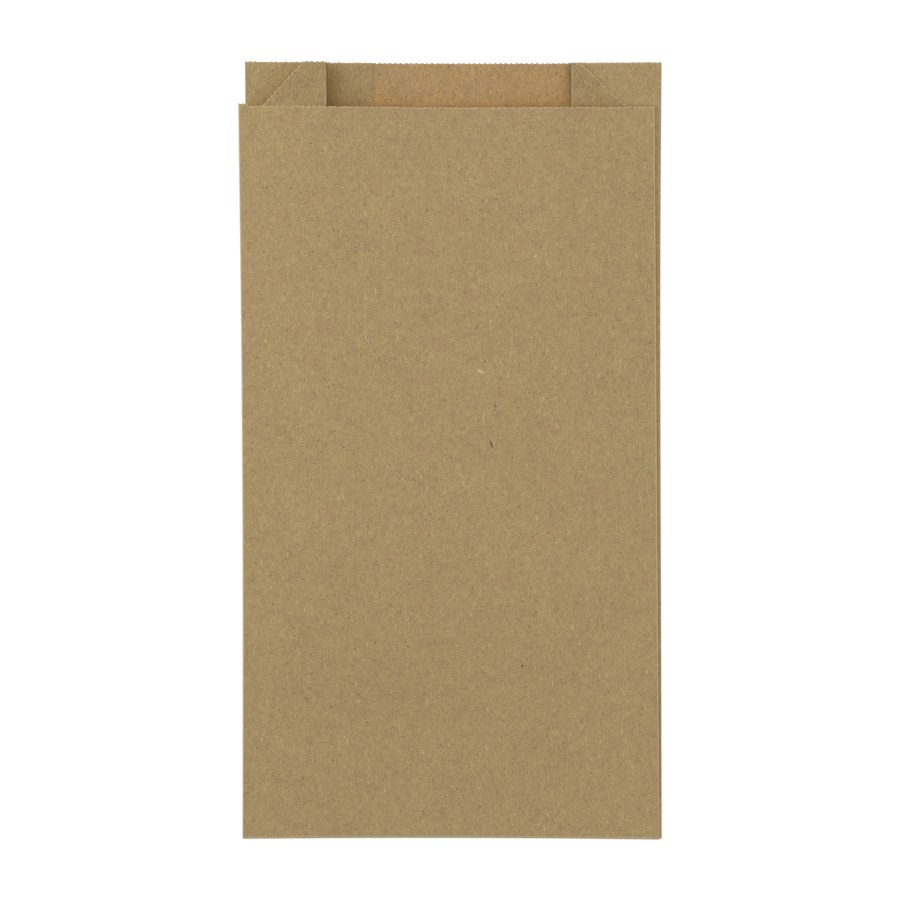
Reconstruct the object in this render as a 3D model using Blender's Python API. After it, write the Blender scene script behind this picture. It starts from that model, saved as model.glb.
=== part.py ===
"""Flat kraft paper bag with side gussets, lying on its back with its mouth towards +Y.

The bag is made the way a bag machine makes it. A flat web of paper is cut at both ends with a
stepped saw-tooth knife, folded lengthwise into a tube with a V-shaped gusset down each side,
lapped and glued along a seam on the back panel, and closed at the foot by turning the tube's
end over onto the back.

The web's outline is drawn flat, the sheet is ruled along every crease and thickened to paper, and
its vertices are then carried to where the folds put them. A place on the web has two coordinates:
s runs around the tube, from the seam's inner edge, and t runs up it, from the foot's fold.

Units are metres, and +Z is up.
"""

import math

import bmesh
import bpy
from mathutils import Vector

MM = 0.001

# Panels
BAG_WIDTH = 150.0 * MM
BAG_HEIGHT = 278.8 * MM
PAPER = 0.10 * MM
GUSSET_LEFT = 29.2 * MM
GUSSET_RIGHT = 32.7 * MM
FRONT_SHIFT_MOUTH = 2.1 * MM
FRONT_SHIFT_FOOT = 0.7 * MM
FRONT_WAIST = 0.8 * MM
BACK_WAIST = 0.7 * MM
WAIST_LEAN = 1.5

# Seam on the back panel
SEAM_EDGE_INSET = 46.0 * MM
SEAM_LAP = 14.0 * MM
SEAM_STEP_RUN = 1.6 * MM

# Stepped saw-tooth cut at both ends
LIP = 16.4 * MM
STEP_RUN_LEFT = 15.3 * MM
STEP_RUN_RIGHT = 16.4 * MM
STEP_INSET_LEFT = 8.8 * MM
STEP_INSET_RIGHT = 3.8 * MM
HEEL_RISE_LEFT = 0.9 * MM
HEEL_RISE_RIGHT = 0.45 * MM
HEEL_RUN = 12.0 * MM
TOOTH_PITCH = 1.9 * MM
TOOTH_HEIGHT = 0.42 * MM
TOOTH_TIP_SHARE = 0.25
TOOTH_NOTCH_SHARE = 0.75

# Foot, turned over onto the back
STACKED_PLIES = 4
TONGUE_PLIES = 2
FOOT_FLAP = 8.5 * MM
GLUE_FILM = 0.06 * MM
FOOT_RAMP = 5.0 * MM
TONGUE_RAMP = 8.0 * MM
FOOT_CLEARANCE = 1.2 * MM

# How far the empty bag stands open
OPEN_START = 6.0 * MM
OPEN_RUN = 105.0 * MM
FOLD_RADIUS_BACK = 0.25 * MM
FOLD_RADIUS_FRONT = 0.28 * MM
FOLD_RADIUS_INNER = 0.55 * MM
INNER_RISE_LEFT = 5.2 * MM
INNER_RISE_RIGHT = 3.4 * MM
FRONT_RISE_LEFT = 1.6 * MM
FRONT_RISE_RIGHT = 1.5 * MM
SHOULDER_GAP = 0.25 * MM
CROWN_MOUTH = 0.8 * MM
CROWN_BELLY = 1.8 * MM
BELLY_TOP = 130.0 * MM

# How finely the folds are divided
CREASE_STEPS = 6
FOOT_STEPS = 6
RAMP_STEPS = 3
SEAM_STEPS = 2
SHOULDER_STEPS = 4
PLATEAU_STEPS = 6
OPEN_STEPS = 7
UPPER_STEPS = 5
RULE_TOLERANCE = 1e-7
SLOPE_NUDGE = 1e-4
SHARP_ANGLE = math.radians(40)

# Paper's look
KRAFT_COLOUR = (0.381, 0.275, 0.133, 1.0)
KRAFT_ROUGHNESS = 0.72

PLY = PAPER + GLUE_FILM
WEB_LENGTH = BAG_HEIGHT + FOOT_FLAP
FOOT_LIFT = STACKED_PLIES * PLY
STACK_TOP = FOOT_LIFT - PLY
TONGUE_THICKNESS = TONGUE_PLIES * PLY
FOOT_ARC = math.pi * FOOT_LIFT / 2
FLAP_END = FOOT_FLAP + FOOT_CLEARANCE
TONGUE_END = FLAP_END + LIP
INNER_TOP = FOLD_RADIUS_INNER + PLY + SHOULDER_GAP
SHOULDER_LEFT = INNER_RISE_LEFT + INNER_TOP - FRONT_RISE_LEFT
SHOULDER_RIGHT = INNER_RISE_RIGHT + INNER_TOP - FRONT_RISE_RIGHT
SHOULDER_SHARE_LEFT = (GUSSET_LEFT + FRONT_SHIFT_MOUTH) / BAG_WIDTH
SHOULDER_SHARE_RIGHT = (GUSSET_RIGHT - FRONT_SHIFT_MOUTH) / BAG_WIDTH


def ease(value, start, end):
    """0 before start, 1 after end, and a smooth rise between them."""
    share = min(max((value - start) / (end - start), 0.0), 1.0)
    return share * share * (3 - 2 * share)


def mix(first, second, share):
    return first + (second - first) * share


def opening_at(t):
    """How far the tube stands open at height t, as a share."""
    return ease(t, OPEN_START, OPEN_START + OPEN_RUN)


def back_lift(y):
    """Height of the back panel's paper over the ground: it lies on the turned-over foot."""
    over_flap = (FOOT_LIFT - TONGUE_THICKNESS) * (1 - ease(y, FLAP_END, FLAP_END + FOOT_RAMP))
    over_tongue = TONGUE_THICKNESS * (1 - ease(y, TONGUE_END, TONGUE_END + TONGUE_RAMP))
    return PAPER / 2 + over_flap + over_tongue


class Crease:
    """A lengthwise fold: the paper turns round a small circle, to the left or to the right."""

    def __init__(self, x, z, radius, turn):
        self.centre = Vector((x, z))
        self.radius = radius
        self.turn = turn

    def point(self, heading, offset):
        """Where the paper is on the circle when it runs in this heading."""
        normal = Vector((-math.sin(heading), math.cos(heading)))
        return self.centre + normal * (offset - self.turn * self.radius)


def tangent_heading(first, second, guess):
    """Heading of the straight ply that leaves one crease and meets the next, near the guess."""
    gap = second.centre - first.centre
    bearing = math.atan2(gap.y, gap.x)
    bearing += 2 * math.pi * round((guess - bearing) / (2 * math.pi))
    rise = second.turn * second.radius - first.turn * first.radius
    return bearing - math.asin(rise / gap.length)


def creases_at(t):
    """The six creases of the tube, in the order in which the web meets them, at height t."""
    height = min(max(t, 0.0), BAG_HEIGHT)
    opened = opening_at(height)
    share = height / BAG_HEIGHT
    waist = math.sin(math.pi * share ** WAIST_LEAN) ** 2
    half = (BAG_WIDTH - PAPER - BACK_WAIST * waist) / 2
    front_half = (BAG_WIDTH - PAPER - FRONT_WAIST * waist) / 2
    shift = mix(FRONT_SHIFT_FOOT, FRONT_SHIFT_MOUTH, share)

    closed = PLY / 2
    back = mix(closed, FOLD_RADIUS_BACK, opened)
    front = mix(closed, FOLD_RADIUS_FRONT, opened)
    inner = mix(closed, FOLD_RADIUS_INNER, opened)
    inner_closed = FOOT_LIFT + STACK_TOP / 2
    front_closed = FOOT_LIFT + STACK_TOP - closed
    under = back_lift(height) - PAPER / 2
    inner_left = mix(inner_closed, INNER_RISE_LEFT, opened) - under
    inner_right = mix(inner_closed, INNER_RISE_RIGHT, opened) - under
    front_left = mix(front_closed, FRONT_RISE_LEFT - front, opened) - under
    front_right = mix(front_closed, FRONT_RISE_RIGHT - front, opened) - under
    return (
        Crease(-half + back, back, back, -1),
        Crease(-half + GUSSET_LEFT - inner, inner_left, inner, 1),
        Crease(-front_half - shift + front, front_left, front, -1),
        Crease(front_half - shift - front, front_right, front, -1),
        Crease(half - GUSSET_RIGHT + inner, inner_right, inner, 1),
        Crease(half - back, back, back, -1),
    )


HEADINGS = (math.pi, 0.0, math.pi, 0.0, -math.pi, 0.0, -math.pi)
SEAM_EDGE_X = -BAG_WIDTH / 2 + SEAM_EDGE_INSET
OUTER_EDGE_X = SEAM_EDGE_X - SEAM_LAP
SEAM_PLY = 0
FRONT_PLY = 3
OUTER_PLY = 6


def front_rise(share, t):
    """How far the front panel stands over the straight line between its two folds.

    It climbs over each gusset's inner fold and is nearly flat between them, with a slight crown.
    """
    climb = math.sin(math.pi / 2 * min(share / SHOULDER_SHARE_LEFT, 1.0))
    climb *= math.sin(math.pi / 2 * min((1 - share) / SHOULDER_SHARE_RIGHT, 1.0))
    crown = mix(CROWN_BELLY, CROWN_MOUTH, ease(t, BELLY_TOP, BAG_HEIGHT))
    top = mix(SHOULDER_LEFT, SHOULDER_RIGHT, share) + crown * math.sin(math.pi * share)
    return opening_at(t) * climb * top


def front_slope(share, t):
    """How steeply the front panel climbs there, as an angle."""
    rise = front_rise(share + SLOPE_NUDGE, t) - front_rise(share - SLOPE_NUDGE, t)
    return math.atan(rise / (2 * SLOPE_NUDGE * BAG_WIDTH))


def section_at(t):
    """Creases and each ply's first and last heading at height t, from the seam's inner edge."""
    creases = creases_at(t)
    headings = [(HEADINGS[SEAM_PLY], HEADINGS[SEAM_PLY])]
    for first, second, guess in zip(creases, creases[1:], HEADINGS[1:]):
        heading = tangent_heading(first, second, guess)
        headings.append((heading, heading))
    headings.append((HEADINGS[OUTER_PLY], HEADINGS[OUTER_PLY]))
    heading = headings[FRONT_PLY][0]
    headings[FRONT_PLY] = (heading + front_slope(0.0, t), heading + front_slope(1.0, t))
    return creases, headings


def ply_ends(creases, headings, ply):
    """The two ends of a ply's middle, which touch the creases on either side of it."""
    first, last = headings[ply]
    if ply == SEAM_PLY:
        end = creases[0].point(last, 0.0)
        return Vector((SEAM_EDGE_X, end.y)), end
    if ply == OUTER_PLY:
        start = creases[-1].point(first, 0.0)
        return start, Vector((OUTER_EDGE_X, start.y))
    return creases[ply - 1].point(first, 0.0), creases[ply].point(last, 0.0)


def web_spans():
    """Where each ply and each crease starts and ends on the flat web, as drawn at the mouth."""
    creases, headings = section_at(BAG_HEIGHT)
    spans = []
    place = 0.0
    for ply in range(len(headings)):
        start, end = ply_ends(creases, headings, ply)
        spans.append((place, place + (end - start).length))
        place = spans[-1][1]
        if ply < OUTER_PLY:
            turned = abs(headings[ply + 1][0] - headings[ply][1])
            spans.append((place, place + turned * creases[ply].radius))
            place = spans[-1][1]
    return spans


SPANS = web_spans()
WEB_WIDTH = SPANS[-1][1]
LEFT_INNER_FOLD = 3
RIGHT_INNER_FOLD = 9


def section_point(s, t, offset):
    """Across the tube at height t: x, and the height above the back panel's paper."""
    creases, headings = section_at(t)
    index = 0
    while index < len(SPANS) - 1 and s > SPANS[index][1]:
        index += 1
    start_s, end_s = SPANS[index]
    share = (s - start_s) / (end_s - start_s)
    ply = index // 2
    if index % 2:
        heading = mix(headings[ply][1], headings[ply + 1][0], share)
        return creases[ply].point(heading, offset)
    start, end = ply_ends(creases, headings, ply)
    point = start.lerp(end, share)
    heading = math.atan2(end.y - start.y, end.x - start.x)
    if ply == FRONT_PLY:
        point.y += front_rise(share, t)
        heading += front_slope(share, t)
    if ply == SEAM_PLY:
        step_end = OUTER_EDGE_X - PLY
        point.y += PLY * ease(point.x, step_end - SEAM_STEP_RUN, step_end)
    return point + offset * Vector((-math.sin(heading), math.cos(heading)))


def folded(s, t, offset):
    """Where the folds carry a point of the web; offset is through the paper, out of the bag."""
    across = section_point(s, t, offset)
    if t >= 0:
        return Vector((across.x, t, across.y + back_lift(t)))
    axis = PAPER / 2 + FOOT_LIFT - PLY / 2
    radius = across.y + PLY / 2
    turned = min(-t / FOOT_ARC, 1.0) * math.pi
    beyond = max(-t - FOOT_ARC, 0.0)
    return Vector((
        across.x,
        beyond - radius * math.sin(turned),
        axis + radius * math.cos(turned),
    ))


def saw_edge(corners):
    """Points of a saw-tooth cut that runs through the corners, with its teeth square to it."""
    points = [corners[0].copy()]
    for start, end in zip(corners, corners[1:]):
        run = end - start
        teeth = max(round(run.length / TOOTH_PITCH), 1)
        normal = Vector((-run.y, run.x)).normalized()
        for tooth in range(teeth):
            tip = start + run * ((tooth + TOOTH_TIP_SHARE) / teeth)
            notch = start + run * ((tooth + TOOTH_NOTCH_SHARE) / teeth)
            points.append(tip + normal * TOOTH_HEIGHT / 2)
            points.append(notch - normal * TOOTH_HEIGHT / 2)
        points.append(end.copy())
    return points


def knife_path(t):
    """The stepped cut across the web, whose higher stretches lie at t."""
    left_fold = sum(SPANS[LEFT_INNER_FOLD]) / 2
    right_fold = sum(SPANS[RIGHT_INNER_FOLD]) / 2
    left_top = left_fold + STEP_INSET_LEFT
    right_top = right_fold - STEP_INSET_RIGHT
    left_heel = left_top + STEP_RUN_LEFT
    right_heel = right_top - STEP_RUN_RIGHT
    corners = [
        Vector((0.0, t)),
        Vector((left_top, t)),
        Vector((left_heel, t - LIP + HEEL_RISE_LEFT)),
        Vector((left_heel + HEEL_RUN, t - LIP)),
        Vector((right_heel - HEEL_RUN, t - LIP)),
        Vector((right_heel, t - LIP + HEEL_RISE_RIGHT)),
        Vector((right_top, t)),
        Vector((WEB_WIDTH, t)),
    ]
    return saw_edge(corners)


def rule_line(web, place, axis):
    """Divide the whole sheet along a line, so that it can bend there."""
    everything = web.verts[:] + web.edges[:] + web.faces[:]
    point = Vector((0, 0, 0))
    point[axis] = place
    normal = Vector((0, 0, 0))
    normal[axis] = 1
    bmesh.ops.bisect_plane(
        web, geom=everything, dist=RULE_TOLERANCE, plane_co=point, plane_no=normal
    )


def even_steps(start, end, steps):
    return [mix(start, end, step / steps) for step in range(steps + 1)]


def lengthwise_rules():
    """Values of s at which the web bends."""
    places = []
    for start, end in SPANS[1::2]:
        places += even_steps(start, end, CREASE_STEPS)
    start, end = SPANS[2 * FRONT_PLY]
    left_end = mix(start, end, SHOULDER_SHARE_LEFT)
    right_end = mix(end, start, SHOULDER_SHARE_RIGHT)
    places += even_steps(start, left_end, SHOULDER_STEPS)[1:]
    places += even_steps(left_end, right_end, PLATEAU_STEPS)[1:]
    places += even_steps(right_end, end, SHOULDER_STEPS)[1:-1]
    seam_step_start = SEAM_EDGE_X - (OUTER_EDGE_X - PLY - SEAM_STEP_RUN)
    places += even_steps(seam_step_start - SEAM_STEP_RUN, seam_step_start, SEAM_STEPS)
    return sorted(set(places))


def crosswise_rules():
    """Values of t at which the web bends."""
    places = even_steps(-FOOT_ARC, 0.0, FOOT_STEPS)
    places += even_steps(FLAP_END, FLAP_END + FOOT_RAMP, RAMP_STEPS)
    places += even_steps(TONGUE_END, TONGUE_END + TONGUE_RAMP, RAMP_STEPS)
    open_from = TONGUE_END + TONGUE_RAMP
    open_to = max(OPEN_START + OPEN_RUN, open_from + TOOTH_PITCH)
    places += even_steps(open_from, open_to, OPEN_STEPS)[1:]
    places += even_steps(open_to, BAG_HEIGHT - LIP - TOOTH_PITCH, UPPER_STEPS)[1:]
    return sorted(set(places))


def make_web():
    """The flat web: its outline cut, its fold lines ruled, and the sheet thickened to paper."""
    web = bmesh.new()
    top = knife_path(BAG_HEIGHT)
    foot = knife_path(BAG_HEIGHT - WEB_LENGTH - FOOT_ARC)
    outline = [web.verts.new((p.x, p.y, -PAPER / 2)) for p in foot + top[::-1]]
    web.faces.new(outline)
    for place in lengthwise_rules():
        rule_line(web, place, 0)
    for place in crosswise_rules():
        rule_line(web, place, 1)
    bmesh.ops.triangulate(web, faces=web.faces[:])
    raised = bmesh.ops.extrude_face_region(web, geom=web.faces[:])
    upper = [item for item in raised["geom"] if isinstance(item, bmesh.types.BMVert)]
    bmesh.ops.translate(web, verts=upper, vec=(0, 0, PAPER))
    return web


def fold_web(web):
    for vertex in web.verts:
        s, t, offset = vertex.co
        vertex.co = folded(s, t, offset)
    bmesh.ops.recalc_face_normals(web, faces=web.faces[:])


def centre_on_origin(bag):
    """Put the middle of the bag's outline over the origin, and leave it lying on the ground."""
    places = [vertex.co for vertex in bag.data.vertices]
    for axis in (0, 1):
        low = min(place[axis] for place in places)
        high = max(place[axis] for place in places)
        bag.location[axis] = -(low + high) / 2


def kraft_material():
    material = bpy.data.materials.new("brown_kraft_paper")
    material.use_nodes = True
    shader = material.node_tree.nodes["Principled BSDF"]
    shader.inputs["Base Color"].default_value = KRAFT_COLOUR
    shader.inputs["Roughness"].default_value = KRAFT_ROUGHNESS
    shader.inputs["Metallic"].default_value = 0.0
    material.diffuse_color = KRAFT_COLOUR
    return material


def build_bag(collection):
    web = make_web()
    fold_web(web)
    mesh = bpy.data.meshes.new("paper_bag")
    web.to_mesh(mesh)
    web.free()
    mesh.materials.append(kraft_material())
    mesh.shade_smooth()
    mesh.set_sharp_from_angle(angle=SHARP_ANGLE)
    bag = bpy.data.objects.new("paper_bag", mesh)
    collection.objects.link(bag)
    centre_on_origin(bag)


def main():
    for item in list(bpy.data.objects):
        bpy.data.objects.remove(item, do_unlink=True)
    collection = bpy.data.collections.new("kraft_paper_bag")
    bpy.context.scene.collection.children.link(collection)
    build_bag(collection)


main()
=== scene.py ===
"""Looks of a flat brown kraft paper bag that lies on its back, seen from straight above.

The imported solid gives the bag's place and size. Here the same web of paper is folded again on a
much finer net, with an irregular saw-tooth cut, slight cockling and a procedural kraft finish.
A place on the web has two coordinates: s runs around the tube from the seam's inner edge, and t
runs up it from the foot's fold. Sizes are in metres.
"""

from __future__ import annotations

import logging
import math
from dataclasses import dataclass, field
from enum import Enum
from functools import partial
from typing import Any

import bmesh
import bpy
import numpy as np
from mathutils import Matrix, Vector


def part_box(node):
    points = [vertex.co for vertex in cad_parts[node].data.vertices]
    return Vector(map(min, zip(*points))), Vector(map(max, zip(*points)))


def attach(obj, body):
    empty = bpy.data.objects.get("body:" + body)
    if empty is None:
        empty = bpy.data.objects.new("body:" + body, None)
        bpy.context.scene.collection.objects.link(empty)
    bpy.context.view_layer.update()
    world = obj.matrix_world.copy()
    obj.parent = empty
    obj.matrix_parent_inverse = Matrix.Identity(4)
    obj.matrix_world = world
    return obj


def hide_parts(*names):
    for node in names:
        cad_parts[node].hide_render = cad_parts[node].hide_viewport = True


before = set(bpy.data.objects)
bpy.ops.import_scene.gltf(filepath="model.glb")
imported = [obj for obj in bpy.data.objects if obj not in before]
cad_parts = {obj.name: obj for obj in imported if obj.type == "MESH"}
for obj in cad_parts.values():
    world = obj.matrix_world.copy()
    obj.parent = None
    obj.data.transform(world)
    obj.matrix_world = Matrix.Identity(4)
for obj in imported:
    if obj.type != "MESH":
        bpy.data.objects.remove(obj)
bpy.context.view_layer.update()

LOG = logging.getLogger("paper_bag")
MM = 0.001
NODE = "paper_bag"
QUARTERS = (0.0, 0.25, 0.5, 0.75, 1.0)
Array = np.ndarray
Arrays = tuple[Array, Array]
Pair = tuple[float, float]
Socket = bpy.types.NodeSocket


def linear(colour: str) -> tuple[float, float, float, float]:
    """Turn an sRGB hex colour into the linear colour that a shader takes.

    Args:
        colour: six hex digits after a hash sign.

    Returns:
        Linear red, green and blue, and an alpha of 1.
    """
    parts = [int(colour[place : place + 2], 16) / 255 for place in (1, 3, 5)]
    red, green, blue = (
        part / 12.92 if part <= 0.04045 else ((part + 0.055) / 1.055) ** 2.4 for part in parts
    )
    return red, green, blue, 1.0


def ease(value: Any, start: float, end: float) -> Any:
    """Rise smoothly from 0 before start to 1 after end.

    Args:
        value: a number or an array.
        start: where the rise begins.
        end: where the rise is over.

    Returns:
        The risen share, of the same shape as value.
    """
    share = np.clip((value - start) / (end - start), 0.0, 1.0)
    return share * share * (3 - 2 * share)


def mix(first: Any, second: Any, share: Any) -> Any:
    """Give the value that lies a share of the way from first to second."""
    return first + (second - first) * share


class Turn(Enum):
    """Which way the web turns at a lengthwise crease, as seen from the foot."""

    LEFT = 1
    RIGHT = -1


class Ply(Enum):
    """The straight plies of the tube, in the order in which the web meets them."""

    BACK_LEFT = 0
    REAR_GUSSET_LEFT = 1
    FRONT_GUSSET_LEFT = 2
    FRONT = 3
    FRONT_GUSSET_RIGHT = 4
    REAR_GUSSET_RIGHT = 5
    BACK_RIGHT = 6


@dataclass(frozen=True)
class Crease:
    """A lengthwise fold: at each height the paper turns round a small circle."""

    x: Array
    z: Array
    radius: Array
    turn: Turn

    def point(self, heading: Array, offset: Array) -> Arrays:
        """Find the paper on the circle.

        Args:
            heading: the direction in which the web runs there, in radians.
            offset: how far out of the web's middle the point lies.

        Returns:
            The point's x and its height.
        """
        reach = offset - self.turn.value * self.radius
        return self.x - np.sin(heading) * reach, self.z + np.cos(heading) * reach

    def heading_to(self, other: Crease, guess: float) -> Array:
        """Find the heading of the straight ply that joins this crease to the next.

        Args:
            other: the next crease.
            guess: about the heading that is wanted, in radians.

        Returns:
            The heading at each height.
        """
        run = other.x - self.x
        rise = other.z - self.z
        bearing = np.arctan2(rise, run)
        bearing = bearing + 2 * math.pi * np.round((guess - bearing) / (2 * math.pi))
        lean = other.turn.value * other.radius - self.turn.value * self.radius
        return bearing - np.arcsin(lean / np.hypot(run, rise))


@dataclass
class FoldedWeb:
    """The one web of paper: how it is cut, where it is folded and how far it stands open."""

    # The panels and gussets. Both panels are drawn in above the foot, and the front is skewed.
    width: float = 150.0 * MM
    height: float = 278.8 * MM
    paper: float = 0.10 * MM
    gusset_left: float = 29.55 * MM
    gusset_right: float = 32.7 * MM
    front_shift_mouth: float = 2.6 * MM
    front_shift_foot: float = 0.8 * MM
    front_waist: float = 0.85 * MM
    front_bow: float = 0.32 * MM
    back_waist: float = 0.9 * MM
    back_waist_lean: float = 1.7
    # The lapped seam on the back panel.
    seam_edge_inset: float = 46.0 * MM
    seam_lap: float = 14.0 * MM
    seam_step_run: float = 1.6 * MM
    # The stepped cut: the lip, its slanted steps, and the low run's rise near each of its ends.
    lip: float = 16.1 * MM
    step_run_left: float = 15.3 * MM
    step_run_right: float = 16.4 * MM
    step_inset_left: float = 8.8 * MM
    step_inset_right: float = 3.8 * MM
    heel_rise_left: float = 0.9 * MM
    heel_rise_right: float = 0.45 * MM
    heel_start: float = 7.6 * MM
    heel_flat: float = 3.3 * MM
    heel_drop: float = 1.0 * MM
    heel_run: float = 20.0 * MM
    # The foot, which is turned over onto the back and glued.
    foot_flap: float = 8.5 * MM
    glue_film: float = 0.06 * MM
    foot_ramp: float = 5.0 * MM
    tongue_ramp: float = 8.0 * MM
    foot_clearance: float = 1.2 * MM
    # Where up the tube it starts to stand open, and its folds there.
    open_start: float = 6.0 * MM
    open_run: float = 105.0 * MM
    radius_back: float = 0.25 * MM
    radius_front: float = 0.28 * MM
    radius_inner: float = 0.55 * MM
    inner_rise_left: float = 4.8 * MM
    inner_rise_right: float = 2.0 * MM
    front_rise_left: float = 1.6 * MM
    front_rise_right: float = 1.5 * MM
    # The soft shapes: the front panel's climb over the gussets, each ply's belly at the mouth,
    # and the bows of both ends. A bow is nothing where the square of x, taken as a share of the
    # half width, is its rest.
    shoulder_gap: float = 0.5 * MM
    crown_mouth: float = 0.8 * MM
    crown_belly: float = 1.8 * MM
    belly_top: float = 130.0 * MM
    bellies: tuple[float, ...] = (0.0, -1.6 * MM, 1.5 * MM, 0.0, -0.22 * MM, 0.22 * MM, 0.0)
    billow_reach: float = 60.0 * MM
    mouth_sag: float = 3.6 * MM
    mouth_bow: float = 0.5 * MM
    mouth_bow_rest: float = 0.8
    foot_bow: float = 0.5 * MM
    foot_bow_rest: float = 0.5
    bow_reach: float = 70.0 * MM
    skew: float = 0.0022
    nudge: float = 1e-4
    headings: tuple[float, ...] = (math.pi, 0.0, math.pi, 0.0, -math.pi, 0.0, -math.pi)
    spans: list[Pair] = field(default_factory=list)

    def __post_init__(self) -> None:
        """Work out the sizes that follow from the driving ones."""
        self.ply = self.paper + self.glue_film
        self.stack_top = 3 * self.ply
        self.foot_lift = 4 * self.ply
        self.foot_arc = math.pi * self.foot_lift / 2
        self.seam_edge_x = -self.width / 2 + self.seam_edge_inset
        self.outer_edge_x = self.seam_edge_x - self.seam_lap
        inner_top = self.radius_inner + self.ply + self.shoulder_gap
        self.shoulder_left = self.inner_rise_left + inner_top - self.front_rise_left
        self.shoulder_right = self.inner_rise_right + inner_top - self.front_rise_right
        self.shoulder_share_left = (self.gusset_left + self.front_shift_mouth) / self.width
        self.shoulder_share_right = (self.gusset_right - self.front_shift_mouth) / self.width
        self.spans = self.flat_spans()
        self.web_width = self.spans[-1][1]

    def opening(self, t: Array) -> Array:
        """Give how far the tube stands open at each height, as a share."""
        return ease(t, self.open_start, self.open_start + self.open_run)

    def crease_after(self, ply: Ply) -> Pair:
        """Give the values of s between which the web turns after a ply."""
        return self.spans[2 * ply.value + 1]

    def back_lift(self, y: Array) -> Array:
        """Find how high the back panel lies over the ground, where the foot's flap is under it.

        Args:
            y: heights up the tube.

        Returns:
            The height of the panel's middle at each.
        """
        short = self.foot_flap + self.foot_clearance
        tongue = short + self.lip
        over_short = 2 * self.ply * (1 - ease(y, short, short + self.foot_ramp))
        over_tongue = 2 * self.ply * (1 - ease(y, tongue, tongue + self.tongue_ramp))
        return self.paper / 2 + over_short + over_tongue

    def creases(self, t: Array) -> list[Crease]:
        """Place the six creases of the tube.

        Args:
            t: heights up the tube.

        Returns:
            The creases in the order in which the web meets them.
        """
        up = np.clip(t, 0.0, self.height)
        opened = self.opening(up)
        share = up / self.height
        back_waist = self.back_waist * np.sin(math.pi * share**self.back_waist_lean)
        half = (self.width - self.paper - back_waist) / 2
        front_waist = self.front_waist * np.sin(math.pi * share)
        front_half = (self.width - self.paper - front_waist) / 2
        shift = mix(self.front_shift_foot, self.front_shift_mouth, share)
        shift = shift - self.front_bow * np.sin(math.pi * share)
        closed = self.ply / 2
        back = mix(closed, self.radius_back, opened)
        front = mix(closed, self.radius_front, opened)
        inner = mix(closed, self.radius_inner, opened)
        under = self.back_lift(up) - self.paper / 2
        inner_closed = self.foot_lift + self.stack_top / 2
        front_closed = self.foot_lift + self.stack_top - closed
        inner_left = mix(inner_closed, self.inner_rise_left, opened) - under
        inner_right = mix(inner_closed, self.inner_rise_right, opened) - under
        front_left = mix(front_closed, self.front_rise_left - front, opened) - under
        front_right = mix(front_closed, self.front_rise_right - front, opened) - under
        return [
            Crease(-half + back, back, back, Turn.RIGHT),
            Crease(-half + self.gusset_left - inner, inner_left, inner, Turn.LEFT),
            Crease(-front_half - shift + front, front_left, front, Turn.RIGHT),
            Crease(front_half - shift - front, front_right, front, Turn.RIGHT),
            Crease(half - self.gusset_right + inner, inner_right, inner, Turn.LEFT),
            Crease(half - back, back, back, Turn.RIGHT),
        ]

    def front_rise(self, share: Any, t: Array) -> Array:
        """Find how far the front panel stands over the straight line between its two folds.

        It climbs over each gusset's inner fold and is nearly flat between them.

        Args:
            share: how far across the panel the points lie.
            t: heights up the tube.

        Returns:
            The rise of each point.
        """
        left = np.minimum(share / self.shoulder_share_left, 1.0)
        right = np.minimum((1 - share) / self.shoulder_share_right, 1.0)
        climb = np.sin(math.pi / 2 * left) * np.sin(math.pi / 2 * right)
        crown = mix(self.crown_belly, self.crown_mouth, ease(t, self.belly_top, self.height))
        top = mix(self.shoulder_left, self.shoulder_right, share)
        flat_run = 1 - self.shoulder_share_left - self.shoulder_share_right
        between = (share - self.shoulder_share_left) / flat_run
        sag = self.mouth_sag * np.sin(math.pi * np.clip(between, 0.0, 1.0)) ** 2
        sag = sag * ease(t, self.height - self.billow_reach, self.height)
        return self.opening(t) * climb * (top + crown * np.sin(math.pi * share) - sag)

    def front_slope(self, share: Any, t: Array) -> Array:
        """Find how steeply the front panel climbs, as an angle at each point."""
        rise = self.front_rise(share + self.nudge, t) - self.front_rise(share - self.nudge, t)
        return np.arctan(rise / (2 * self.nudge * self.width))

    def billow(self, ply: Ply, share: Array, t: Array) -> Any:
        """Find how far a gusset's ply bellies up or sags near the mouth.

        Args:
            ply: which ply.
            share: how far across the ply the points lie.
            t: heights up the tube.

        Returns:
            The rise of each point, negative where the ply sags.
        """
        most = self.bellies[ply.value]
        near_mouth = ease(t, self.height - self.billow_reach, self.height)
        return most * near_mouth * np.sin(math.pi * np.clip(share, 0.0, 1.0))

    def ply_headings(self, creases: list[Crease], t: Array) -> list[Arrays]:
        """Find in which direction each ply starts and ends.

        Args:
            creases: the six creases.
            t: heights up the tube.

        Returns:
            Each ply's first and last heading, at every height.
        """
        flat = np.zeros_like(creases[0].x)
        between = [
            crease.heading_to(after, guess)
            for crease, after, guess in zip(creases, creases[1:], self.headings[1:])
        ]
        straight = [flat + self.headings[0], *between, flat + self.headings[-1]]
        found = [(heading, heading) for heading in straight]
        front = straight[Ply.FRONT.value]
        found[Ply.FRONT.value] = (
            front + self.front_slope(0.0, t),
            front + self.front_slope(1.0, t),
        )
        return found

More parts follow.
